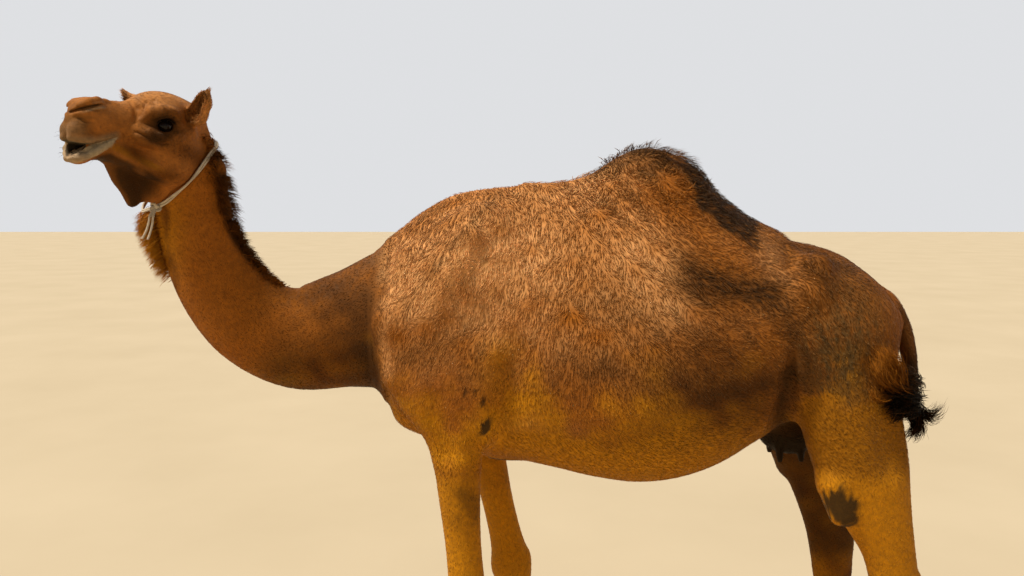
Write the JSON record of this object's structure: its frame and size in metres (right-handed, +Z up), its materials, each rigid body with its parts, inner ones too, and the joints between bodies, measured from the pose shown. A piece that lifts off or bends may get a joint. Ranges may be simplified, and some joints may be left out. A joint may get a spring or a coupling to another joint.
{
  "type": "life-size standing dromedary camel model",
  "caption": "Still life-size model of a dromedary camel cow, standing, head turned to her left, with a thin cord collar round the neck.",
  "frame": {"origin": "centre of the model's box at floor level, under the belly", "axes": "+Z up, -X towards the chest and head end, -Y towards the camel's left side"},
  "size_m": [2.3798, 0.7022, 2.0491],
  "materials": {
    "coat": "short sleek hair, chestnut to golden",
    "wool": "clumped dark woolly hair",
    "dark_hair": "long dark tail hair",
    "callus": "bare grey-olive horny skin",
    "udder_skin": "bare dark skin",
    "horn": "dark toenail horn",
    "eye": "wet dark brown eye",
    "rope": "twisted off-white cord"
  },
  "bodies": {
    "root": {"head": "coat", "lower_jaw": "coat", "ear_left": "coat", "ear_right": "coat", "neck_upper": "coat", "neck_middle": "coat", "neck_lower": "coat", "forequarters": "coat", "barrel": "coat", "hindquarters": "coat", "forearm_left": "coat", "forearm_right": "coat", "gaskin_left": "coat", "gaskin_right": "coat", "lower_leg_front_left": "coat", "lower_leg_front_right": "coat", "lower_leg_hind_left": "coat", "lower_leg_hind_right": "coat", "foot_front_left": "coat", "foot_front_right": "coat", "foot_hind_left": "coat", "foot_hind_right": "coat", "hump": "wool", "tail": "dark_hair", "tail_tuft": "dark_hair", "sternal_pad": "callus", "udder": "udder_skin", "toenail_front_left_inner": "horn", "toenail_front_left_outer": "horn", "toenail_front_right_inner": "horn", "toenail_front_right_outer": "horn", "toenail_hind_left_inner": "horn", "toenail_hind_left_outer": "horn", "toenail_hind_right_inner": "horn", "toenail_hind_right_outer": "horn", "eye_left": "eye", "eye_right": "eye", "collar_rope": "rope", "collar_knot": "rope", "collar_end_front": "rope", "collar_end_rear": "rope"}
  },
  "joints": []
}
